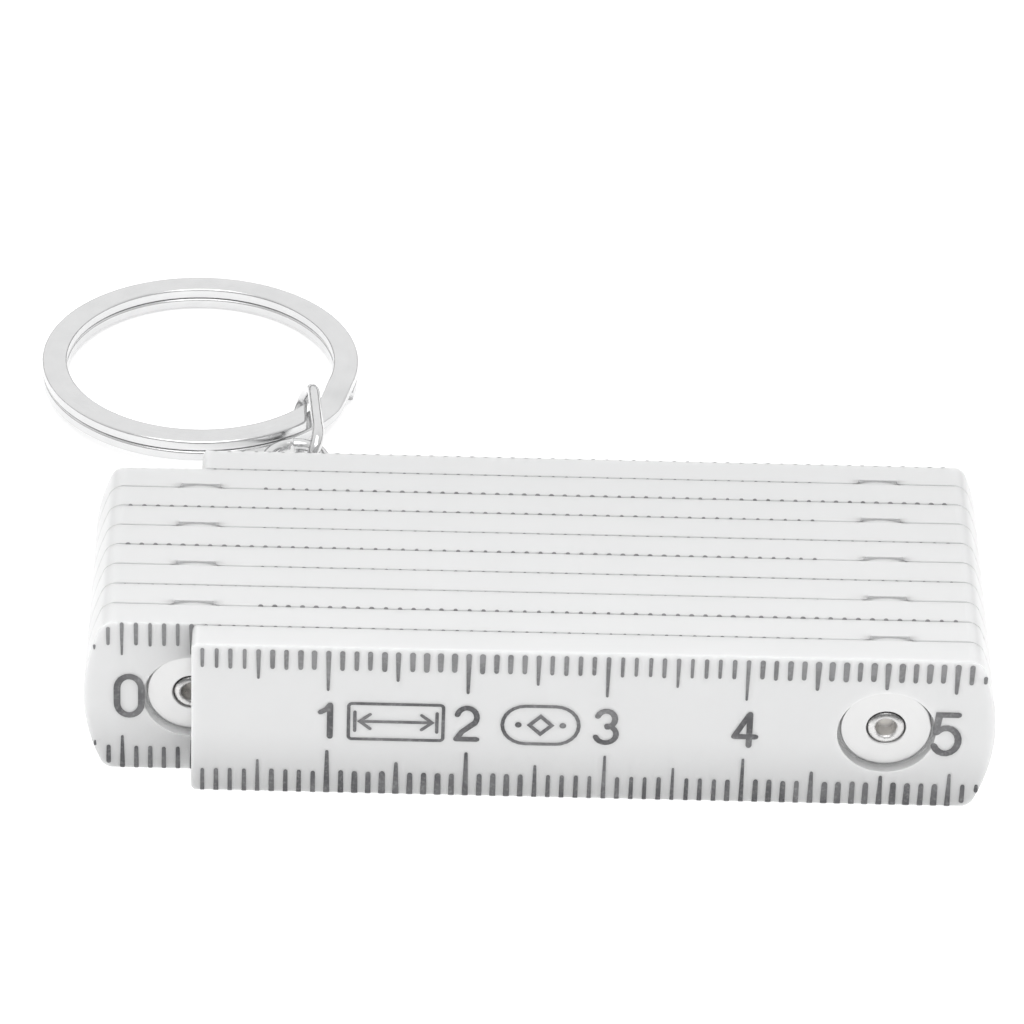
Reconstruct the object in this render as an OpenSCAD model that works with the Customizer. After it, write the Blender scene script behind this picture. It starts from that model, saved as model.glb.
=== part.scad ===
// Ten-blade pocket folding rule on a short chain with a split ring, folded up.
// Millimetres. X runs along the blades, Y through the stack from the first
// blade to the last, Z is up. The origin lies in the middle of the bottom edge
// of the last blade, which carries the chain.

/* [Blades] */
// Distance between the two hinge axes of one blade
hinge_span = 50; // [48:0.5:52]
// Height of a blade on edge
blade_h = 13.2; // [13.1:0.05:13.3]
// Blade-to-blade pitch through the folded stack
blade_pitch = 2.4; // [2.4:0.05:2.6]
// Gap between two neighbouring blades
blade_gap = 0.06; // [0.04:0.01:0.08]
// Length of a blade beyond its hinge axis
end_reach = 7.85; // [7.5:0.05:8.2]
// Radius of a bowed blade end
bow_r = 15.35; // [14.5:0.05:16.5]
// Radius of the corners of a bowed end
bow_corner_r = 1.3; // [0.9:0.1:1.5]
// Radius of the corners of a cut end
cut_corner_r = 0.5; // [0.4:0.1:0.8]
// Radius along the edges of a blade
edge_r = 0.12; // [0.1:0.02:0.2]

/* [Hinges] */
// Radius of the boss on the back of a blade
boss_r = 6.5; // [6.3:0.05:6.5]
// Distance that a boss reaches past the middle of the gap
boss_reach = 0.36; // [0.3:0.01:0.38]
// Radius of the recess that a boss turns in
recess_r = 6.75; // [6.7:0.01:6.8]
// Depth of the recess in the front of a blade
recess_depth = 0.42; // [0.42:0.01:0.46]
// Number of click bumps on a boss
click_count = 4; // [2:2:4]
// Radius of the circle that the click bumps sit on
click_circle_r = 5.2; // [4.8:0.1:5.6]
// Height of a click bump
click_h = 0.05; // [0.03:0.01:0.05]

/* [Washers and rivets] */
// Radius of a washer
washer_r = 3.3; // [3.2:0.05:3.4]
// Sheet thickness of a washer
washer_t = 0.32; // [0.28:0.01:0.32]
// Depth of the washer face below the blade face
washer_sink = 0.6; // [0.5:0.05:0.6]
// Radius of the dished middle of a washer
dish_r = 1.42; // [1.4:0.01:1.5]
// Depth of the dished middle of a washer
dish_depth = 0.42; // [0.36:0.02:0.42]
// Radius of the counterbore around a washer
counterbore_r = 3.56; // [3.5:0.01:3.6]
// Radius of a rivet shank
shank_r = 1; // [0.9:0.05:1]
// Radius of the pit in a rivet end
pit_r = 0.74; // [0.6:0.02:0.76]
// Depth of the pit in a rivet end
pit_depth = 0.95; // [0.6:0.05:1.1]
// Radial width of the rolled rim around the pit
roll_w = 0.6; // [0.5:0.02:0.62]
// Height of the rolled rim above its widest line
roll_h = 0.24; // [0.2:0.01:0.26]
// Radial play of a turning shank in its blade
shank_play = 0.05; // [0.03:0.01:0.08]

/* [Chain] */
// Wire diameter of the jump rings and the chain links
wire_d = 0.9; // [0.8:0.05:0.9]
// Wire diameter of the long link on the split ring
ring_link_d = 0.95; // [0.85:0.05:0.95]
// Mean radius of the closed jump ring in the last blade
end_ring_r = 2.3; // [2.3]
// Mean radius of the open jump ring
jump_ring_r = 2.25; // [2.25]
// Mean end radius of a chain link
link_r = 1.35; // [1.3:0.05:1.4]
// Mean end radius of the long link
ring_link_r = 1.7; // [1.7]
// Diameter of the chain hole in the last blade
chain_hole_d = 3; // [3]
// Width of the bar between the chain hole and the cut end
chain_bar_w = 1.2; // [1:0.1:1.2]
// Thickness of that bar behind its wire groove
chain_bar_t = 1.04; // [0.8:0.02:1.04]

/* [Split ring] */
// Outer diameter of the split ring
split_ring_d = 24.8; // [24.8]
// Radial width of its flat wire
flat_w = 1.95; // [1.85:0.05:1.95]
// Thickness of its flat wire
flat_t = 0.88; // [0.8:0.02:0.88]
// Slope of the ring, which rests on the long link, in degrees
ring_lean = 3.1; // [3.1]

/* [Hidden] */
$fn = 64;
blade_count = 10;
hinge_count = blade_count - 1;
function two_digits(n) = n < 10 ? str("0", n) : str(n);
function numbered(name, count) = [for (n = [1:count]) str(name, "_", two_digits(n))];
chain_names = ["end_ring", "chain_link_1", "chain_link_2", "chain_link_3", "jump_ring", "ring_link"];

blade_t = blade_pitch - blade_gap;
mid_z = blade_h / 2;
half_length = hinge_span / 2 + end_reach;
bow_x = half_length - bow_r;
cut_x = -hinge_span / 2;
skin = 0.01;

// Hinges lie at the right for odd numbers and at the left for even ones.
function hinge_x(j) = (j % 2 == 1 ? 1 : -1) * hinge_span / 2;
function blade_y(k) = (k - blade_count) * blade_pitch;

// ---- blades ----

module rounded_rect(size, r) {
    translate([-size.x / 2 + r, -size.y / 2]) square([size.x - 2 * r, size.y]);
    translate([-size.x / 2, -size.y / 2 + r]) square([size.x, size.y - 2 * r]);
    for (sx = [-1, 1])
        for (sy = [-1, 1])
            translate([sx * (size.x / 2 - r), sy * (size.y / 2 - r)]) circle(r);
}

// Side view of the right half of a blade, with its bowed end.
module bowed_half() {
    rise = mid_z - bow_corner_r;
    corner_x = bow_x + sqrt(pow(bow_r - bow_corner_r, 2) - rise * rise);
    angle = asin(rise / (bow_r - bow_corner_r));
    touch = [bow_x + bow_r * cos(angle), bow_r * sin(angle)];
    polygon([[0, -mid_z], [corner_x, -mid_z], [touch.x, -touch.y],
             [touch.x, touch.y], [corner_x, mid_z], [0, mid_z]]);
    for (side = [-1, 1])
        translate([corner_x, side * rise]) circle(bow_corner_r);
    intersection() {
        translate([bow_x, 0]) circle(bow_r, $fn = 128);
        translate([touch.x - skin, -touch.y]) square([bow_r, 2 * touch.y]);
    }
}

// Side view of the left half of a blade, with its cut end.
module cut_half() {
    translate([cut_x / 2, 0]) rounded_rect([-cut_x, blade_h], cut_corner_r);
    translate([cut_x / 2, -mid_z]) square([-cut_x / 2, blade_h]);
}

// Envelope that rounds the edges of a bowed end: a thick disc with a round rim.
module bow_disc() {
    translate([bow_x, 0, mid_z]) rotate([90, 0, 0]) rotate_extrude($fn = 128) {
        translate([0, -blade_t / 2]) square([bow_r - edge_r, blade_t]);
        translate([0, -blade_t / 2 + edge_r]) square([bow_r, blade_t - 2 * edge_r]);
        for (side = [-1, 1])
            translate([bow_r - edge_r, side * (blade_t / 2 - edge_r)]) circle(edge_r);
    }
}

module blade_blank(left_is_cut) {
    intersection() {
        translate([0, blade_t / 2, mid_z]) rotate([90, 0, 0]) linear_extrude(blade_t) {
            bowed_half();
            if (left_is_cut) cut_half();
            else mirror([1, 0]) bowed_half();
        }
        translate([-half_length, 0, mid_z]) rotate([90, 0, 90])
            linear_extrude(2 * half_length) rounded_rect([blade_t, blade_h], edge_r);
        union() {
            bow_disc();
            if (left_is_cut)
                translate([(cut_x + bow_x) / 2, 0, 0]) linear_extrude(blade_h)
                    rounded_rect([bow_x - cut_x, blade_t], edge_r);
            else {
                mirror([1, 0, 0]) bow_disc();
                translate([-bow_x, -blade_t / 2, 0]) cube([2 * bow_x, blade_t, blade_h]);
            }
        }
    }
}

// A cylinder along +Y from y = from to y = to, on the axis of hinge j.
module on_hinge(j, from, to, r) {
    translate([hinge_x(j), to, mid_z]) rotate([90, 0, 0]) cylinder(h = to - from, r = r);
}

module click_spheres(j, y, r) {
    for (i = [0:click_count - 1])
        translate([hinge_x(j), y, mid_z]) rotate([0, 45 + i * 360 / click_count, 0])
            translate([click_circle_r, 0, 0]) sphere(r);
}

// Room for a washer and its dished middle. side is -1 at the front, 1 at the back.
module washer_seat(j, side, play) {
    face = side * blade_t / 2;
    rim = side * (blade_t / 2 - washer_sink - washer_t - play);
    pocket = rim - side * dish_depth;
    on_hinge(j, min(rim, face + side), max(rim, face + side), counterbore_r);
    on_hinge(j, min(pocket, face), max(pocket, face), dish_r + washer_t + 0.05);
}

module boss(j) {
    face = blade_pitch / 2 + boss_reach;
    bump_r = 0.6;
    on_hinge(j, 0, face, boss_r);
    click_spheres(j, face + click_h - bump_r, bump_r);
}

module recess(j) {
    dimple_r = 0.75;
    floor_y = -blade_t / 2 + recess_depth;
    on_hinge(j, -blade_t, floor_y, recess_r);
    click_spheres(j, floor_y + click_h + 0.04 - dimple_r, dimple_r);
}

// Hole for the jump ring, with a groove that lets its wire pass the next blade.
module chain_hole() {
    groove_floor = blade_t / 2 - chain_bar_t;
    groove_h = wire_d + 0.4;
    hole_x = cut_x + chain_bar_w + chain_hole_d / 2;
    translate([hole_x, blade_t, mid_z]) rotate([90, 0, 0]) cylinder(h = 2 * blade_t, d = chain_hole_d);
    translate([cut_x - 1, -blade_t, mid_z - groove_h / 2])
        cube([hole_x - cut_x + 1, blade_t + groove_floor, groove_h]);
}

module blade(k) {
    color("white") translate([0, blade_y(k), 0]) difference() {
        union() {
            blade_blank(k == 1 || k == blade_count);
            if (k < blade_count) boss(k);
        }
        if (k < blade_count) {
            washer_seat(k, -1, 0.03);
            on_hinge(k, -blade_pitch, 2 * blade_pitch, shank_r + shank_play);
        }
        if (k > 1) {
            recess(k - 1);
            washer_seat(k - 1, 1, 0);
            on_hinge(k - 1, -blade_pitch, blade_pitch, shank_r);
        }
        if (k == blade_count) chain_hole();
    }
}

// ---- washers and rivets ----

// Points along an arc whose radii in x and y are r.x and r.y.
function arc(centre, r, from, to, steps) = [
    for (i = [0:steps])
        let (angle = from + (to - from) * i / steps)
            centre + [r.x * cos(angle), r.y * sin(angle)]
];

// Washer around the z axis, outer face at z = 0, dished towards +z.
module washer() {
    lip_r = 0.12;
    rotate_extrude() polygon(concat(
        [[shank_r, dish_depth], [dish_r - 0.12, dish_depth]],
        arc([dish_r + lip_r, lip_r], [lip_r, lip_r], 180, 270, 4),
        arc([washer_r - lip_r, lip_r], [lip_r, lip_r], 270, 360, 4),
        [[washer_r, washer_t], [dish_r + washer_t, washer_t],
         [dish_r + washer_t - 0.15, dish_depth + washer_t], [shank_r, dish_depth + washer_t]]
    ));
}

module washer_on(j, side) {
    k = side < 0 ? j : j + 1;
    translate([hinge_x(j), blade_y(k) + side * (blade_t / 2 - washer_sink), mid_z])
        rotate([side * 90, 0, 0]) color("silver") washer();
}

// Rivet with two rolled ends around pits. It stands between the washers' dishes.
module rivet(j) {
    half = blade_pitch / 2 + blade_t / 2 - washer_sink - dish_depth;
    crown = half + roll_h;
    quarter = concat(
        [[0, crown - pit_depth], [pit_r, crown - pit_depth]],
        arc([pit_r + roll_w / 2, crown], [roll_w / 2, roll_h], 180, 0, 12),
        [[pit_r + roll_w, crown - 0.1], [pit_r + roll_w - 0.1, half], [shank_r, half]]
    );
    lower = [for (i = [len(quarter) - 1:-1:0]) [quarter[i].x, -quarter[i].y]];
    color("gainsboro") translate([hinge_x(j), blade_y(j) + blade_pitch / 2, mid_z])
        rotate([90, 0, 0]) rotate_extrude() polygon(concat(quarter, lower));
}

// ---- chain ----

end_ring_at = [cut_x + chain_bar_w / 2, 1.65, mid_z];
jump_ring_at = [-18.35, 15.5, 2.15];
link_pull = wire_d / 2 + 0.05;
end_ring_heading = 72.5;
jump_ring_heading = 74;
function heading(angle) = [cos(angle), sin(angle), 0];
// Middles of the wire crossings along the chain, from the last blade outwards.
crossings = [
    end_ring_at + (end_ring_r - link_pull - 0.06) * heading(end_ring_heading),
    [-22.19, 6.82, 5.0],
    [-20.51, 10.33, 3.51],
    jump_ring_at - (jump_ring_r - link_pull - 0.03) * heading(jump_ring_heading)
];
// Wire centres at the two ends of the long link.
ring_link_near = [-17.19, 15.75, 2.25];
ring_link_far = [-17.91, 24.05, 2.04];
ring_link_roll = -68.1;

module wire_ring(r, d, gap_at = 0, gap = 0) {
    rotate([0, 0, gap_at + gap / 2]) rotate_extrude(angle = 360 - gap)
        translate([r, 0]) circle(d = d, $fn = 32);
}

// Oval link in the xy plane, its wire centres reaching length along x.
module oval(length, r, d) {
    straight = length / 2 - r;
    lap = 0.002;
    for (side = [0, 180])
        rotate([0, 0, side]) {
            translate([straight, 0, 0]) rotate([0, 0, -90])
                rotate_extrude(angle = 180) translate([r, 0]) circle(d = d, $fn = 32);
            translate([-straight - lap, r, 0]) rotate([0, 90, 0])
                cylinder(h = 2 * (straight + lap), d = d, $fn = 32);
        }
}

// Places an oval between two points, turned by roll about its own length.
module oval_between(p, q, roll, overrun, r, d) {
    run = q - p;
    translate((p + q) / 2) rotate([roll, -asin(run.z / norm(run)), atan2(run.y, run.x)])
        oval(norm(run) + 2 * overrun, r, d);
}

module end_ring() {
    color("silver") translate(end_ring_at) wire_ring(end_ring_r, wire_d);
}

module chain_link(n) {
    color("silver")
        oval_between(crossings[n - 1], crossings[n], n % 2 == 1 ? 90 : 0, link_pull, link_r, wire_d);
}

module jump_ring() {
    color("silver") translate(jump_ring_at) wire_ring(jump_ring_r, wire_d, gap_at = 100, gap = 8);
}

module ring_link() {
    color("silver")
        oval_between(ring_link_near, ring_link_far, ring_link_roll, 0, ring_link_r, ring_link_d);
}

// ---- split ring ----

// The coil climbs from its lower to its upper turn between these two angles.
climb_from = -29;
climb_to = -15;
climb_steps = 5;
turn_gap = 0.04;
// The free end of the upper turn is cut square to x, this far from the middle.
end_cut_x = 8.5;

module flat_wire(from, to, z) {
    rotate([0, 0, from]) rotate_extrude(angle = to - from, $fn = 128)
        translate([split_ring_d / 2 - flat_w / 2, z + flat_t / 2]) rounded_rect([flat_w, flat_t], 0.2);
}

module climb_slice(i) {
    share = i / climb_steps;
    rotate([0, 0, climb_from + (climb_to - climb_from) * share])
        translate([split_ring_d / 2 - flat_w, -skin, share * (flat_t + turn_gap)])
            cube([flat_w, 2 * skin, flat_t]);
}

module split_ring() {
    centre = [-26.15, 28.63, split_ring_d / 2 * sin(ring_lean)];
    color("silver") translate(centre) rotate([-ring_lean, 0, 0]) {
        flat_wire(climb_to + 1, climb_from + 360, 0);
        difference() {
            flat_wire(climb_to, climb_from + 359, flat_t + turn_gap);
            translate([end_cut_x, -split_ring_d / 2, flat_t + turn_gap / 2])
                cube([split_ring_d / 2 - end_cut_x, split_ring_d / 3, 2 * flat_t]);
        }
        for (i = [0:climb_steps - 1])
            hull() {
                climb_slice(i);
                climb_slice(i + 1);
            }
    }
}

// ---- everything ----

for (k = [1:blade_count])
    blade(k);
for (j = [1:hinge_count]) {
    washer_on(j, -1);
    rivet(j);
    washer_on(j, 1);
}
end_ring();
for (n = [1:3])
    chain_link(n);
jump_ring();
ring_link();
split_ring();
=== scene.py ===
"""Pocket folding rule: ten printed plastic blades on riveted hinges, a short chain and a split ring."""

import math
import random

import bpy
from mathutils import Matrix, Vector


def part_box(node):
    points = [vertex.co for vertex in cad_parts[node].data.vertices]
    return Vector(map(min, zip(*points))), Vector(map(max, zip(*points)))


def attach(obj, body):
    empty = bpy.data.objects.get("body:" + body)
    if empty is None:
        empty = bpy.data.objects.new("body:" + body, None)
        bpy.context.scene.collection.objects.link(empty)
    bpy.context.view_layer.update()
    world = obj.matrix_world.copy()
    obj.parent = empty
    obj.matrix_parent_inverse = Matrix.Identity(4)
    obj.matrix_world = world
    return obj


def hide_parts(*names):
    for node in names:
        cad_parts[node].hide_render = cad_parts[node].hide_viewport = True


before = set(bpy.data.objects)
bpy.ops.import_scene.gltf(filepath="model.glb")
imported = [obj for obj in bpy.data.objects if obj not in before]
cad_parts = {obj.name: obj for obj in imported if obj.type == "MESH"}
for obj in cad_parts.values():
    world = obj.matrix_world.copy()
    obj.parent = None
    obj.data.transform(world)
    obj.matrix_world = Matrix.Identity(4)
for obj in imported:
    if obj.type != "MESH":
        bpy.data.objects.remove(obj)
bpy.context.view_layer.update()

MM = 0.001
# Number of blades, and the distance between the hinge axes of a blade
COUNT = 10
SPAN = 50.0
# Radius of a blade's long edges
EDGE_R = 0.12
# Thickness of the print, and how deep its underside sits in the plastic
INK = 0.012
INK_ROOT = 0.004
# A line of ink that crosses an earlier one lies this much higher
INK_STEP = 0.004
# How far the print lies off its true place along x, on odd and even blades
ODD_SHIFT = -0.2
EVEN_SHIFT = -0.05
# Radius of the dished middle of a washer
DISH_R = 1.42


# ---- sizes in millimetres, read from the frame ----


def box_mm(node):
    low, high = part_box(node)
    return low / MM, high / MM


last_low, last_high = box_mm("blade_10")
BLADE_H = last_high.z - last_low.z
BLADE_T = last_high.y - last_low.y
PITCH = box_mm("blade_09")[0].y - box_mm("blade_08")[0].y
MID_Z = BLADE_H / 2


def blade_name(k):
    return f"blade_{k:02d}"


def blade_y(k):
    return (k - COUNT) * PITCH


def x_at(k, distance):
    """Where a distance along the unfolded rule is printed on blade k of the folded one."""
    along = distance - SPAN * (k - 1)
    if k % 2:
        return along - SPAN / 2 + ODD_SHIFT
    return SPAN / 2 - along + EVEN_SHIFT


# ---- materials ----


class Finish:
    """A Principled material, with short calls for the nodes that feed it."""

    def __init__(self, name, **sockets):
        self.material = bpy.data.materials.new(name)
        self.material.use_nodes = True
        self.tree = self.material.node_tree
        self.shader = self.tree.nodes["Principled BSDF"]
        for socket, value in sockets.items():
            self.shader.inputs[socket.replace("_", " ")].default_value = value

    def node(self, kind, inputs=(), **settings):
        new = self.tree.nodes.new("ShaderNode" + kind)
        for name, value in settings.items():
            setattr(new, name, value)
        for socket, value in dict(inputs).items():
            if isinstance(value, bpy.types.NodeSocket):
                self.tree.links.new(value, new.inputs[socket])
            else:
                new.inputs[socket].default_value = value
        return new

    def feed(self, socket, output):
        self.tree.links.new(output, self.shader.inputs[socket])

    def place(self, stretch=(1, 1, 1), source="Object"):
        where = self.node("TexCoord").outputs[source]
        return self.node("Mapping", {"Vector": where, "Scale": stretch}).outputs["Vector"]

    def noise(self, place, scale, detail=2.0, roughness=0.5):
        values = {"Vector": place, "Scale": scale, "Detail": detail, "Roughness": roughness}
        return self.node("TexNoise", values).outputs["Fac"]

    def ramp(self, value, low, high, start, end):
        """Maps value from low..high to start..end."""
        values = {"Value": value, "From Min": low, "From Max": high, "To Min": start, "To Max": end}
        return self.node("MapRange", values).outputs["Result"]

    def math(self, operation, a, b=0.0):
        return self.node("Math", {0: a, 1: b}, operation=operation).outputs[0]

    def tint(self, value, start, end):
        """Mixes two colours. start is a colour or the output of a node."""
        if not isinstance(start, bpy.types.NodeSocket):
            start = (*start, 1)
        mix = self.node("Mix", {0: value, 6: start, 7: (*end, 1)}, data_type="RGBA")
        return mix.outputs[2]

    def bump(self, heights, distance):
        """Chains one bump per (height, share) pair. distance is in metres."""
        normal = None
        for height, share in heights:
            values = {"Height": height, "Distance": distance * share, "Strength": 1.0}
            if normal:
                values["Normal"] = normal
            normal = self.node("Bump", values).outputs["Normal"]
        self.feed("Normal", normal)


def make_plastic():
    """White plastic that lets some light through, with light wear, and painted shade and painted light in
    its colour.
    """
    finish = Finish("white_plastic", IOR=1.5, Subsurface_Weight=0.8, Subsurface_Scale=1.0 * MM)
    finish.shader.inputs["Subsurface Radius"].default_value = (1, 1, 1)
    place = finish.place()
    cloud = finish.noise(place, 160, 3)
    pale = finish.tint(cloud, (0.645, 0.648, 0.65), (0.67, 0.672, 0.673))
    # Painted shade and painted light: shade darkens the colour near the table and towards the back of the
    # stack, and lightens it in the narrow gaps.
    shade = finish.math("MULTIPLY", wear_shade(finish), batch_shade(finish, place))
    tinted = finish.node("VectorMath", {0: pale, "Scale": shade}, operation="SCALE").outputs["Vector"]
    finish.feed("Base Color", tinted)
    rough = finish.ramp(cloud, 0.3, 0.7, 0.28, 0.36)
    scuffs = finish.noise(finish.place((900, 900, 90)), 1, 3, 0.7)
    finish.feed("Roughness", finish.math("ADD", rough, finish.ramp(scuffs, 0.62, 0.72, 0.0, 0.10)))
    grain = finish.noise(place, 2600, 2)
    pin = finish.ramp(pin_radius(finish), 0.78 * MM, 0.84 * MM, 0.0, 1.0)
    finish.bump([(cloud, 0.6), (grain, 0.08), (pin, 0.3)], 0.01 * MM)
    return finish.material


def wear_shade(finish):
    """Painted shade: darker where the plastic faces something near, such as the table, standing in for the
    light lost there. Painted light: lighter in the narrow gaps, standing in for light that comes through
    the plastic.
    """
    open_air = finish.node("AmbientOcclusion", {"Distance": 6 * MM}, samples=12).outputs["AO"]
    painted_contact_shade = finish.ramp(open_air, 0.35, 1.0, 0.63, 1.0)
    painted_gap_light = finish.ramp(open_air, 0.06, 0.48, 1.4, 0.62)
    return finish.math("MAXIMUM", painted_contact_shade, painted_gap_light)


def batch_shade(finish, place):
    """Painted shade: the blades get slightly darker from the front of the stack to its back, standing in
    for the light that falls off towards the back.
    """
    depth = finish.node("SeparateXYZ", {0: place}).outputs["Y"]
    return finish.ramp(depth, blade_y(1) * MM, 0.0, 1.025, 0.955)


def pin_radius(finish):
    """Distance from the round mark that the mould's pin leaves on each blade, in metres."""
    mark_x, mark_z = -16.9, 6.4
    shift = (-mark_x * MM, 0, -mark_z * MM)
    across = finish.node("Mapping", {"Vector": finish.place(), "Location": shift, "Scale": (1, 0, 1)})
    return finish.node("VectorMath", {0: across.outputs[0]}, operation="LENGTH").outputs["Value"]


def make_ink():
    """Dark grey print, patchy, and paler towards the upper edges."""
    finish = Finish("print_ink", IOR=1.45)
    place = finish.place()
    patches = finish.noise(place, 420, 2)
    grain = finish.noise(place, 4200, 2)
    height = finish.node("SeparateXYZ", {0: place}).outputs["Z"]
    # Paler towards the blade's upper edge.
    upper_pale = finish.ramp(height, 9.5 * MM, 12.5 * MM, 0.0, 0.6)
    patchy = finish.ramp(patches, 0.35, 0.75, 0.0, 0.6)
    grainy = finish.ramp(grain, 0.5, 0.75, 0.0, 0.5)
    paleness = finish.math("ADD", upper_pale, finish.math("ADD", patchy, grainy))
    finish.feed("Base Color", finish.tint(paleness, (0.07, 0.07, 0.074), (0.23, 0.23, 0.235)))
    finish.feed("Roughness", finish.ramp(grain, 0.3, 0.7, 0.45, 0.6))
    finish.bump([(grain, 1.0)], 0.004 * MM)
    return finish.material


def hinge_radius(finish):
    """Distance from the nearest hinge axis, in metres."""
    parts = finish.node("SeparateXYZ", {0: finish.place()})
    across = finish.math("SUBTRACT", finish.math("ABSOLUTE", parts.outputs["X"]), SPAN / 2 * MM)
    upward = finish.math("SUBTRACT", parts.outputs["Z"], MID_Z * MM)
    flat = finish.node("CombineXYZ", {"X": across, "Y": upward})
    return finish.node("VectorMath", {0: flat.outputs[0]}, operation="LENGTH").outputs["Value"]


def tarnish(finish, radius, bright):
    """Painted shadow: darkens a bright metal on the upper side of the washer's dish, where the dish's upper
    rim shades it.
    """
    height = finish.node("SeparateXYZ", {0: finish.place()}).outputs["Z"]
    above = finish.ramp(height, (MID_Z + 0.35) * MM, (MID_Z + 0.95) * MM, 0.0, 1.0)
    inner = finish.ramp(radius, 0.95 * MM, 1.1 * MM, 0.0, 1.0)
    outer = finish.ramp(radius, (DISH_R - 0.04) * MM, (DISH_R + 0.04) * MM, 1.0, 0.0)
    crescent = finish.math("MULTIPLY", above, finish.math("MULTIPLY", inner, outer))
    return finish.tint(crescent, bright, (0.25, 0.25, 0.25))


def make_washer():
    """Plated sheet steel with faint turning rings."""
    finish = Finish("washer_steel", Metallic=1.0)
    place = finish.place()
    radius = hinge_radius(finish)
    rings = finish.noise(finish.node("CombineXYZ", {"X": radius}).outputs[0], 9000, 2)
    cloud = finish.noise(place, 900, 3)
    bright = finish.tint(cloud, (0.60, 0.60, 0.60), (0.66, 0.66, 0.658))
    # Painted shadow on the upper side of the dish.
    finish.feed("Base Color", tarnish(finish, radius, bright))
    finish.feed("Roughness", finish.ramp(cloud, 0.3, 0.7, 0.30, 0.44))
    finish.bump([(rings, 0.25), (cloud, 1.0)], 0.01 * MM)
    return finish.material


def make_rivet():
    """Rolled metal with small dents. The pit in its end is dull, and painted pale: painted light that
    stands in for the light the deep pit loses.
    """
    finish = Finish("rivet_metal")
    radius = hinge_radius(finish)
    cloud = finish.noise(finish.place(), 1500, 3)
    dents = finish.noise(finish.place(), 5200, 2)
    pit = finish.ramp(radius, 0.45 * MM, 0.8 * MM, 1.0, 0.0)
    # Painted light: the pit is given a pale colour to offset the shade inside it.
    bright = finish.tint(pit, (0.62, 0.615, 0.61), (1.0, 0.97, 0.93))
    # Painted shadow on the upper side of the dish.
    finish.feed("Base Color", tarnish(finish, radius, bright))
    rough = finish.ramp(cloud, 0.3, 0.7, 0.20, 0.36)
    finish.feed("Roughness", finish.math("ADD", rough, finish.ramp(pit, 0.0, 1.0, 0.0, 0.35)))
    finish.feed("Metallic", finish.ramp(pit, 0.0, 1.0, 1.0, 0.1))
    finish.bump([(cloud, 1.0), (dents, 0.8)], 0.04 * MM)
    return finish.material


def make_wire(name, along):
    """Bright nickel. along lays the drawing marks along the swept wire, by its UVs."""
    finish = Finish(name, Metallic=1.0)
    cloud = finish.noise(finish.place(), 700, 3)
    if along:
        lines = finish.noise(finish.place((160, 3, 1), "UV"), 1, 2)
    else:
        lines = finish.noise(finish.place(), 5200, 2)
    finish.feed("Base Color", finish.tint(cloud, (0.60, 0.602, 0.605), (0.68, 0.68, 0.682)))
    finish.feed("Roughness", finish.ramp(lines, 0.3, 0.7, 0.10, 0.22))
    finish.bump([(lines, 0.5), (cloud, 1.0)], 0.006 * MM)
    return finish.material


PLASTIC = make_plastic()
PRINT = make_ink()
WASHER = make_washer()
RIVET = make_rivet()
CHAIN = make_wire("chain_nickel", False)
RING = make_wire("ring_nickel", True)

# The first word of a node's name gives its material. The rest is chain.
KINDS = {"blade": PLASTIC, "front": WASHER, "back": WASHER, "rivet": RIVET}

for name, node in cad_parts.items():
    node.data.materials.clear()
    node.data.materials.append(KINDS.get(name.split("_")[0], CHAIN))
    for polygon in node.data.polygons:
        polygon.material_index = 0


# ---- mesh helpers ----


class Solid:
    """Collects vertices in millimetres and faces of one new piece."""

    def __init__(self):
        self.points = []
        self.faces = []

    def tube(self, rings, closed=False):
        """Skins rings of points, each with the same number of points, and caps the ends."""
        base, size = len(self.points), len(rings[0])
        for ring in rings:
            self.points += ring
        spans = len(rings) if closed else len(rings) - 1
        for i in range(spans):
            here, there = base + i * size, base + (i + 1) % len(rings) * size
            for j in range(size):
                k = (j + 1) % size
                self.faces.append((here + j, here + k, there + k, there + j))
        if not closed:
            self.faces.append(tuple(base + j for j in reversed(range(size))))
            self.faces.append(tuple(base + (len(rings) - 1) * size + j for j in range(size)))

    def build(self, name, material, body, smooth=False):
        mesh = bpy.data.meshes.new(name)
        mesh.from_pydata([Vector(p) * MM for p in self.points], [], self.faces)
        mesh.materials.append(material)
        mesh.polygons.foreach_set("use_smooth", [smooth] * len(mesh.polygons))
        piece = bpy.data.objects.new(name, mesh)
        bpy.context.scene.collection.objects.link(piece)
        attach(piece, body)
        return piece


# ---- the printed scale ----


# Turns, in degrees, of the rows that make a round end of a line of ink. EDGE_CAP is the
# finer one, for ends that bend round a blade's long edge.
CAP = (75, 45)
EDGE_CAP = (80, 62, 42, 20)
# Steps in from the end of a mark, for the part of it that bends round the edge
EDGE_STEPS = (0.0, 0.04, 0.08, 0.12, 0.16)
# Shares of a mark's length on the flat face
FLAT_STEPS = (0.0, 0.35, 0.7, 1.0)
# Least and greatest width of a mark at the edge, and how much wider the lower marks are
MARK_WIDTHS = (0.30, 0.40)
LOWER_EXTRA = 0.04
# A mark is at most this share of its length wide
MOST_WIDE = 0.4
# How wide a mark's tip is, as a share of its width at the edge. Short marks, with tips
# lower than SHORT_TIP, are nearly even in width, and long ones taper.
SHORT_TIP = 2.5
SHORT_TAPER = 0.85
LONG_TAPER = 0.55


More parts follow.
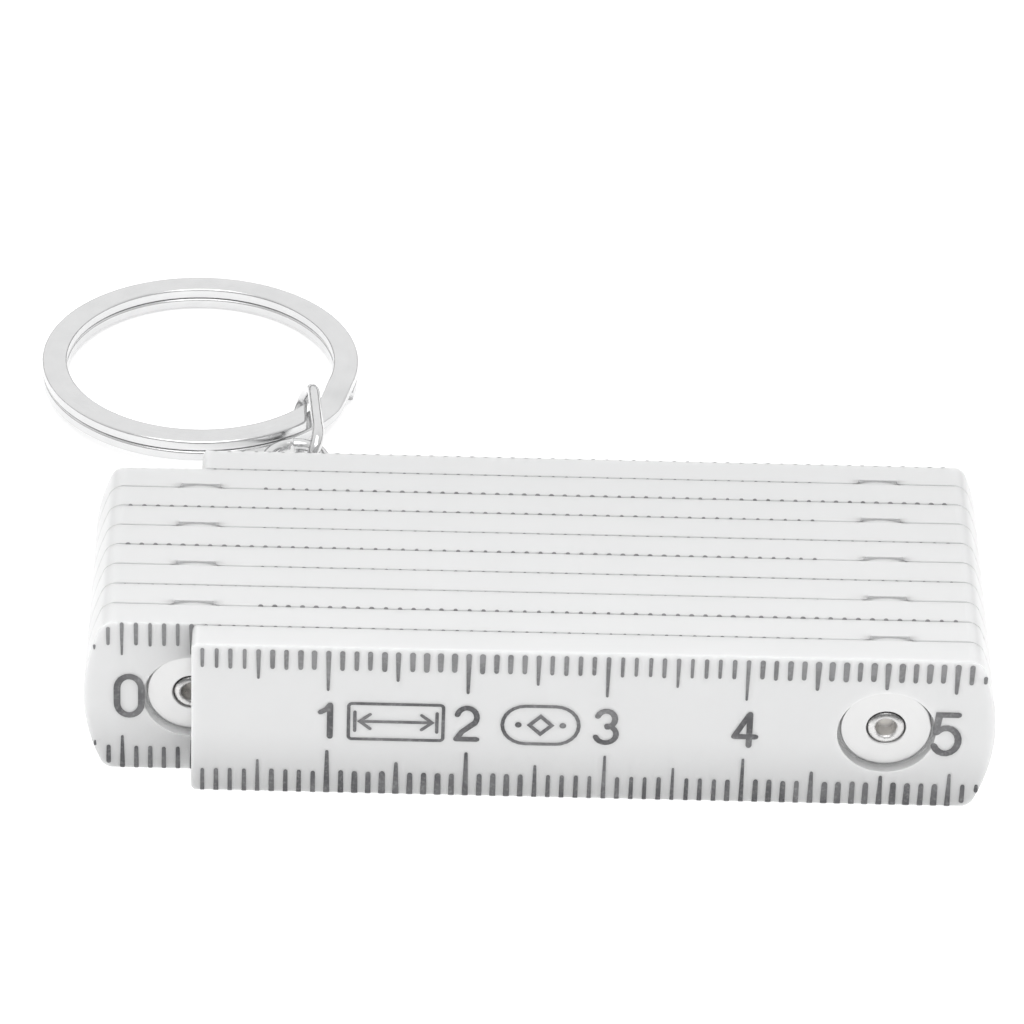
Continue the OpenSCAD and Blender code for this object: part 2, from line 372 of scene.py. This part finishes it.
class Face:
    """The front (side -1) or back (side 1) of blade k, as a sheet to print on.

    Print is drawn in x and v. v is the height on the flat face, and goes on round the
    rounded long edges where it is less than EDGE_R or more than BLADE_H - EDGE_R."""

    def __init__(self, k, side):
        self.k = k
        self.side = side
        self.solid = Solid()
        self.dice = random.Random(100 * k + side)

    def point(self, x, v, lift):
        """The place of (x, v), lifted off the surface."""
        upper = v > MID_Z
        past = max(0.0, v - (BLADE_H - EDGE_R) if upper else EDGE_R - v)
        quarter = EDGE_R * math.pi / 2
        angle = min(past, quarter) / EDGE_R
        reach = EDGE_R + lift
        inward = EDGE_R - reach * math.cos(angle) + max(0.0, past - quarter)
        rise = reach * math.sin(angle)
        y = blade_y(self.k) + self.side * (BLADE_T / 2 - inward)
        if past == 0:
            return (x, y, v)
        return (x, y, BLADE_H - EDGE_R + rise if upper else EDGE_R - rise)

    def stroke(self, path, widths, lift=INK, first_cap=CAP):
        """One line of ink. widths has one width per point. Equal ends make a closed line."""
        path = [Vector(p) for p in path]
        closed = (path[0] - path[-1]).length < 1e-6
        rows = ink_edges(path[:-1] if closed else path, widths, closed, first_cap)
        rings = []
        for left, right in rows:
            ring = [
                self.point(left.x, left.y, lift),
                self.point(right.x, right.y, lift),
                self.point(right.x, right.y, -INK_ROOT),
                self.point(left.x, left.y, -INK_ROOT),
            ]
            rings.append(ring if self.side < 0 else ring[::-1])
        self.solid.tube(rings, closed)

    def finish(self):
        where = "front" if self.side < 0 else "back"
        self.solid.build(f"print_{where}_{self.k:02d}", PRINT, blade_name(self.k))


def ink_edges(path, widths, closed, first_cap):
    """Left and right points along a path, with round ends where it is open."""
    rows = []
    count = len(path)
    for i, point in enumerate(path):
        starts = i == 0 and not closed
        ends = i == count - 1 and not closed
        before = point if starts else path[i - 1]
        after = point if ends else path[(i + 1) % count]
        along = (after - before).normalized()
        across = Vector((-along.y, along.x))
        half = widths[i] / 2
        if not starts and not ends:
            # The line is wider across a corner, to keep its width beside it.
            step = (point - before).normalized()
            half /= max(across.dot(Vector((-step.y, step.x))), 0.5)
        body = (point + across * half, point - across * half)
        cap = first_cap if starts else CAP[::-1] if ends else ()
        outward = -along if starts else along
        round_rows = []
        for turn in cap:
            out = point + outward * half * math.sin(math.radians(turn))
            wide = across * half * math.cos(math.radians(turn))
            round_rows.append((out + wide, out - wide))
        rows += [body] + round_rows if ends else round_rows + [body]
    return rows


def arc(cx, cy, rx, ry, start, end, steps=10):
    """Points on an ellipse, from start to end in degrees."""
    turns = [math.radians(start + (end - start) * i / steps) for i in range(steps + 1)]
    return [(cx + rx * math.cos(a), cy + ry * math.sin(a)) for a in turns]


# Digits as centre lines, one unit high, standing on y = 0 and centred on x = 0
GLYPHS = {
    "0": [arc(0, 0.69, 0.30, 0.31, 0, 180, 12) + arc(0, 0.31, 0.30, 0.31, 180, 360, 12) + [(0.30, 0.69)]],
    "1": [[(-0.22, 0.77), (-0.06, 0.85), (0.06, 0.99)], [(0.07, 1.0), (0.07, 0.0)]],
    "2": [
        arc(0, 0.70, 0.30, 0.30, 165, -35, 12) + [(-0.14, 0.24), (-0.31, 0.0)],
        [(-0.31, 0.0), (0.31, 0.0)],
    ],
    "3": [arc(0, 0.74, 0.27, 0.26, 160, -80, 12), arc(0, 0.26, 0.32, 0.27, 85, -160, 14)],
    "4": [[(0.14, 0.0), (0.14, 1.0)], [(0.11, 0.98), (-0.30, 0.31)], [(-0.31, 0.28), (0.33, 0.28)]],
    "5": [[(0.27, 1.0), (-0.20, 1.0), (-0.26, 0.54)], arc(0, 0.33, 0.31, 0.33, 140, -155, 16)],
    "6": [arc(0.05, 0.5, 0.35, 0.5, 62, 180, 10) + [(-0.30, 0.33)], arc(0, 0.31, 0.30, 0.31, 180, 540, 20)],
    "7": [[(-0.31, 1.0), (0.31, 1.0), (0.08, 0.62), (-0.08, 0.0)]],
    "8": [arc(0, 0.75, 0.25, 0.25, 90, 450, 20), arc(0, 0.26, 0.31, 0.26, 90, 450, 20)],
    "9": [arc(0, 0.69, 0.30, 0.31, 0, 360, 20), arc(-0.05, 0.5, 0.35, 0.5, -118, 0, 10) + [(0.30, 0.67)]],
}
# Width of the digits, and the distance between two digits of one number
GLYPH_WIDTH = 0.84
GLYPH_STEP = 0.72
NUMBER_HEIGHT = 3.25


def write_number(face, text, x, height, stroke=0.42):
    """Writes a number centred on x at mid-height, read in the direction of rising numbers."""
    ahead = 1 if face.k % 2 else -1
    upright = ahead * -face.side
    tall = height - stroke
    for place, digit in enumerate(text):
        shift = (place - (len(text) - 1) / 2) * GLYPH_STEP
        for n, line in enumerate(GLYPHS[digit]):
            points = [
                (x + ahead * (px * GLYPH_WIDTH + shift) * tall, MID_Z + upright * (py - 0.5) * tall)
                for px, py in line
            ]
            width = stroke * face.dice.uniform(0.94, 1.06)
            face.stroke(points, [width] * len(points), INK + INK_STEP * n)


def tick(face, x, outer, tip, top):
    """One mark from the long edge inwards. outer and tip are distances round the edge."""
    # The marks get wider and narrower along a blade, in waves about 33 mm long.
    weight = 1 + 0.2 * math.sin(0.19 * x + 3.28 + 0.66 * (face.k - 1))
    wide = weight * face.dice.uniform(*MARK_WIDTHS) + (0 if top else LOWER_EXTRA)
    wide = min(wide, MOST_WIDE * (tip - outer))
    narrow = wide * (SHORT_TAPER if tip < SHORT_TIP else LONG_TAPER)
    x += face.dice.uniform(-0.02, 0.02)
    tip += face.dice.uniform(-0.06, 0.06)
    start, end = outer + wide / 2, tip - narrow / 2
    levels = [start + step for step in EDGE_STEPS if start + step < EDGE_R]
    flat = max(start, EDGE_R)
    levels += [flat + (end - flat) * share for share in FLAT_STEPS]
    widths = [wide + (narrow - wide) * max(0, level - start) / (end - start) for level in levels]
    if top:
        levels = [BLADE_H - level for level in levels]
    face.stroke([(x, level) for level in levels], widths, INK, EDGE_CAP)


def edge_height(x):
    """Half the height of a blade's side view at x. Its ends are wide bows with round corners."""
    bow_r, corner_r = 15.35, 1.3
    bow_x = last_high.x - bow_r
    rise = MID_Z - corner_r
    corner_x = bow_x + math.sqrt((bow_r - corner_r) ** 2 - rise**2)
    beyond = abs(x) - corner_x
    if beyond <= 0:
        return MID_Z
    turn = math.atan2(rise, corner_x - bow_x)
    if beyond < corner_r * math.cos(turn):
        return rise + math.sqrt(corner_r**2 - beyond**2)
    return math.sqrt(max(bow_r**2 - (abs(x) - bow_x) ** 2, 0))


# How far the marks of a blade's front reach round its edge, past the end of the flat face
FRONT_REACH = {1: -0.2, 2: 0.1, 3: 0.19, 4: 0.05, 5: 0.09, 6: 0.17, 7: 0.08, 8: 0.15, 9: 0.18, 10: 0.09}
BACK_REACH = 0.06
LAST_BACK_REACH = 0.2
# Where the lower marks of the first blade's front start, past the middle of the bend
FIRST_OUTER = -0.1
# The scale goes on this far past a hinge axis, so that it runs to the blade's round end
OVERRUN = 7
# Where two faces turn on each other, marks less than this far along x from the hinge axis
# are left out
HINGE_GAP = 4.5
# The tips of the other marks there keep out of a circle of this radius round the axis
HINGE_CLEAR = 6.9
# Heights of the tips of the marks over the long edge. A mark takes the first one that its
# distance on the scale is a multiple of.
TIPS = {50: 2.75, 10: 3.95, 5: 2.98, 1: 2.06}
# Where a blade's outline has dropped more than END_DROP from its long edge, the marks start
# this far in from the outline
END_DROP = 0.02
END_INSET = 0.2
LEAST_MARK = 0.5


def print_face(k, side):
    """Prints the scale, its numbers and the signs on one side of blade k."""
    face = Face(k, side)
    joint_here = k if side > 0 else k - 1
    mating = 1 <= joint_here < COUNT
    joint_x = x_at(k, SPAN * joint_here)
    reach = FRONT_REACH[k] if side < 0 else LAST_BACK_REACH if k == COUNT else BACK_REACH
    first = max(1, SPAN * (k - 1) - OVERRUN)
    last = min(SPAN * COUNT - 1, SPAN * k + OVERRUN)
    for distance in range(int(first), int(last) + 1):
        x = x_at(k, distance)
        from_hinge = SPAN / 2 - (x if joint_x > 0 else -x)
        if mating and from_hinge < HINGE_GAP:
            continue
        tip = next(TIPS[step] for step in TIPS if distance % step == 0)
        if mating and from_hinge < HINGE_CLEAR:
            tip = min(tip, MID_Z - math.sqrt(HINGE_CLEAR**2 - from_hinge**2))
        drop = MID_Z - edge_height(x)
        for top in (True, False):
            outer = EDGE_R - reach if top or k > 1 or side > 0 else FIRST_OUTER
            if drop > END_DROP:
                outer = drop + EDGE_R + END_INSET
            tick(face, x, outer, max(tip, outer + LEAST_MARK), top)
    for number in range(5 * (k - 1) + 1, 5 * k):
        write_number(face, str(number), x_at(k, 10 * number), NUMBER_HEIGHT)
    # On the front the washer at the blade's high end shows, on the back the one at its low end.
    number = 5 * k if side < 0 else 5 * (k - 1)
    if 0 < number < 5 * COUNT:
        write_beside_washer(face, str(number), x_at(k, 10 * number))
    if k == 1 and side < 0:
        draw_marks(face)
    face.finish()


def write_beside_washer(face, text, x):
    """The number at a hinge. Two digits stand on either side of the washer."""
    ahead = 1 if face.k % 2 else -1
    offset = 4.5
    height, stroke = 3.98, 0.49
    if len(text) == 1:
        write_number(face, text, x + ahead * offset, height, stroke)
    else:
        write_number(face, text[0], x - ahead * offset, height, stroke)
        write_number(face, text[1], x + ahead * offset, height, stroke)


def rounded_corners(width, height, radius, steps):
    """Points round a rectangle with round corners, around the origin."""
    points = []
    for sx, sy, start in ((1, 1, 0), (-1, 1, 90), (-1, -1, 180), (1, -1, 270)):
        corner_x = sx * (width / 2 - radius)
        corner_y = sy * (height / 2 - radius)
        points += arc(corner_x, corner_y, radius, radius, start, start + 90, steps)
    return points


def outline(width, height, radius):
    """Closed rounded rectangle around the origin."""
    points = rounded_corners(width, height, radius, 6)
    return points + [points[0]]


def draw_marks(face):
    """Two plain signs between the numbers: a length arrow in a box, a diamond in an oval."""
    box_x, oval_x = x_at(1, 14.9), x_at(1, 25.3)
    thin = 0.24

    def draw(points, x, width=thin, layer=0):
        line = [(x + px, MID_Z + py) for px, py in points]
        face.stroke(line, [width] * len(line), INK + INK_STEP * layer)

    draw(outline(6.8, 3.2, 0.25), box_x)
    draw([(-2.5, 0), (2.5, 0)], box_x)
    for way in (-1, 1):
        draw([(way * 1.85, 0.65), (way * 2.6, 0), (way * 1.85, -0.65)], box_x, thin, 1)
        draw([(way * 2.95, 0.85), (way * 2.95, -0.85)], box_x)
        draw(arc(way * 1.6, 0, 0.13, 0.13, 0, 360, 12), oval_x, 0.22)
    draw(outline(5.5, 3.4, 1.68), oval_x, 0.26)
    draw([(0, 0.8), (0.8, 0), (0, -0.8), (-0.8, 0), (0, 0.8)], oval_x, 0.28)


for k in range(1, COUNT + 1):
    print_face(k, -1)
    print_face(k, 1)


# ---- split ring ----


# Outer radius and lean from the level, in degrees, of the split ring, and the y of its centre
RING_R = 12.4
RING_LEAN = 3.1
RING_Y = 28.63
# Width, thickness and corner radius of its flat wire, and the gap between its two turns
WIRE_W = 1.95
WIRE_T = 0.88
WIRE_CORNER = 0.2
TURN_GAP = 0.04
# Angles along the wire, in degrees: its lower free end, and the climb before its second turn
WIRE_START = -14
CLIMB_START = 331
CLIMB_TURN = 14
# The second turn ends in a straight cut at this x from the ring's centre
END_X = 8.5
# The sections turn into the plane of that cut over this many degrees
END_SLANT = 12
RING_STEPS = 360


def cut_angle(radius):
    """Where the cut crosses a circle on the second turn, in degrees."""
    return 720 - math.degrees(math.acos(END_X / radius))


def ring_section(angle, profile):
    """The section of the split ring's wire at an angle, in the ring's own axes."""
    middle = RING_R - WIRE_W / 2
    end = cut_angle(middle)
    climb = min(max((angle - CLIMB_START) / CLIMB_TURN, 0), 1)
    rise = (WIRE_T + TURN_GAP) * climb * climb * (3 - 2 * climb)
    skew = max(0, (angle - end) / END_SLANT + 1)
    section = []
    for px, py in profile:
        radius = middle + px
        turn = math.radians(angle + (cut_angle(radius) - end) * skew)
        section.append(Vector((radius * math.cos(turn), radius * math.sin(turn), WIRE_T / 2 + rise + py)))
    return section


def make_split_ring():
    """The flat wire of the split ring as one smooth sweep, two turns with a step."""
    low, high = box_mm("split_ring")
    lean = math.radians(RING_LEAN)
    centre = Vector(((low.x + high.x) / 2, RING_Y, RING_R * math.sin(lean)))
    place = Matrix.Translation(centre) @ Matrix.Rotation(-lean, 4, "X")
    profile = rounded_corners(WIRE_W, WIRE_T, WIRE_CORNER, 5)
    end = cut_angle(RING_R - WIRE_W / 2)
    turns = [WIRE_START + (end - WIRE_START) * i / RING_STEPS for i in range(RING_STEPS + 1)]
    solid = Solid()
    solid.tube([[tuple(place @ point) for point in ring_section(angle, profile)] for angle in turns])
    piece = solid.build("split_ring_wire", RING, "split_ring", True)
    wrap = piece.data.uv_layers.new(name="wire")
    size = len(profile)
    for polygon in piece.data.polygons:
        for loop, vertex in zip(polygon.loop_indices, polygon.vertices):
            wrap.data[loop].uv = (vertex % size / size, turns[vertex // size] / 360)
    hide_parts("split_ring")


make_split_ring()


# ---- stage, light and camera ----


def make_floor():
    """A white table that glows a little, so that it shows as plain white."""
    finish = Finish("floor_white", Roughness=0.9)
    cloud = finish.noise(finish.place(), 3, 2)
    finish.feed("Base Color", finish.tint(cloud, (0.84, 0.84, 0.84), (0.86, 0.86, 0.86)))
    finish.shader.inputs["Emission Color"].default_value = (1, 1, 1, 1)
    finish.shader.inputs["Emission Strength"].default_value = 0.38
    mesh = bpy.data.meshes.new("floor")
    # Metres from the middle to the sides
    far = 3.0
    mesh.from_pydata([(-far, -far, 0), (far, -far, 0), (far, far, 0), (-far, far, 0)], [], [(0, 1, 2, 3)])
    mesh.materials.append(finish.material)
    floor = bpy.data.objects.new("floor", mesh)
    bpy.context.scene.collection.objects.link(floor)
    # Just below the blades' long edges
    floor.location.z = -0.02 * MM


def make_softbox(name, place, size, power):
    """A rectangular light that faces the origin. Its place and size are in metres."""
    light = bpy.data.lights.new(name, "AREA")
    light.shape = "RECTANGLE"
    light.size, light.size_y = size
    light.energy = power
    lamp = bpy.data.objects.new(name, light)
    bpy.context.scene.collection.objects.link(lamp)
    lamp.location = place
    lamp.rotation_euler = (-Vector(place)).to_track_quat("-Z", "Y").to_euler()


def make_camera():
    """Long lens from the front and above, with the slight roll of the view. Lengths are in mm."""
    azimuth, elevation, roll = math.radians(1.3834), math.radians(35.8708), math.radians(2.1228)
    forward = Vector((
        math.sin(azimuth) * math.cos(elevation),
        math.cos(azimuth) * math.cos(elevation),
        -math.sin(elevation),
    ))
    level = forward.cross(Vector((0, 0, 1))).normalized()
    upright = level.cross(forward)
    right = level * math.cos(roll) + upright * math.sin(roll)
    up = upright * math.cos(roll) - level * math.sin(roll)
    aim = Vector((4, -11.8, 6.5))
    away, leftwards, upwards = 485.38, 5.9193, 9.0702
    place = aim - forward * away - right * leftwards + up * upwards
    camera = bpy.data.cameras.new("camera")
    camera.sensor_width = 36
    camera.lens = 233.01
    camera.clip_start = 0.01
    holder = bpy.data.objects.new("camera", camera)
    bpy.context.scene.collection.objects.link(holder)
    turn = Matrix((right, up, -forward)).transposed().to_4x4()
    holder.matrix_world = Matrix.Translation(place * MM) @ turn
    bpy.context.scene.camera = holder


def make_world():
    """A white room, brightest behind and above. It is dark at the horizon and below, which
    gives the metal its dark lines."""
    world = bpy.data.worlds.new("studio")
    world.use_nodes = True
    tree = world.node_tree
    where = tree.nodes.new("ShaderNodeTexCoord").outputs["Generated"]
    parts = tree.nodes.new("ShaderNodeSeparateXYZ")
    tree.links.new(where, parts.inputs[0])

    def ramp(value, low, high, start, end):
        node = tree.nodes.new("ShaderNodeMapRange")
        node.interpolation_type = "SMOOTHSTEP"
        tree.links.new(value, node.inputs["Value"])
        for socket, number in (("From Min", low), ("From Max", high), ("To Min", start), ("To Max", end)):
            node.inputs[socket].default_value = number
        return node.outputs["Result"]

    def combine(operation, a, b):
        node = tree.nodes.new("ShaderNodeMath")
        node.operation = operation
        tree.links.new(a, node.inputs[0])
        tree.links.new(b, node.inputs[1])
        return node.outputs[0]

    walls = ramp(parts.outputs["Y"], -0.6, 0.5, 0.75, 1.15)
    ceiling = ramp(parts.outputs["Z"], 0.5, 0.8, 0.0, 0.80)
    gap = ramp(parts.outputs["Z"], 0.10, 0.24, 0.15, 1.0)
    room = combine("MULTIPLY", combine("MAXIMUM", walls, ceiling), gap)
    background = tree.nodes["Background"]
    background.inputs["Color"].default_value = (1, 1, 1, 1)
    tree.links.new(room, background.inputs["Strength"])
    bpy.context.scene.world = world


make_world()
bpy.context.scene.view_settings.view_transform = "Standard"
make_floor()
make_softbox("top_softbox", (-0.05, -0.22, 0.58), (0.5, 0.4), 1.25)
make_softbox("front_softbox", (0.05, -0.45, 0.55), (0.4, 0.15), 0.5)
make_camera()
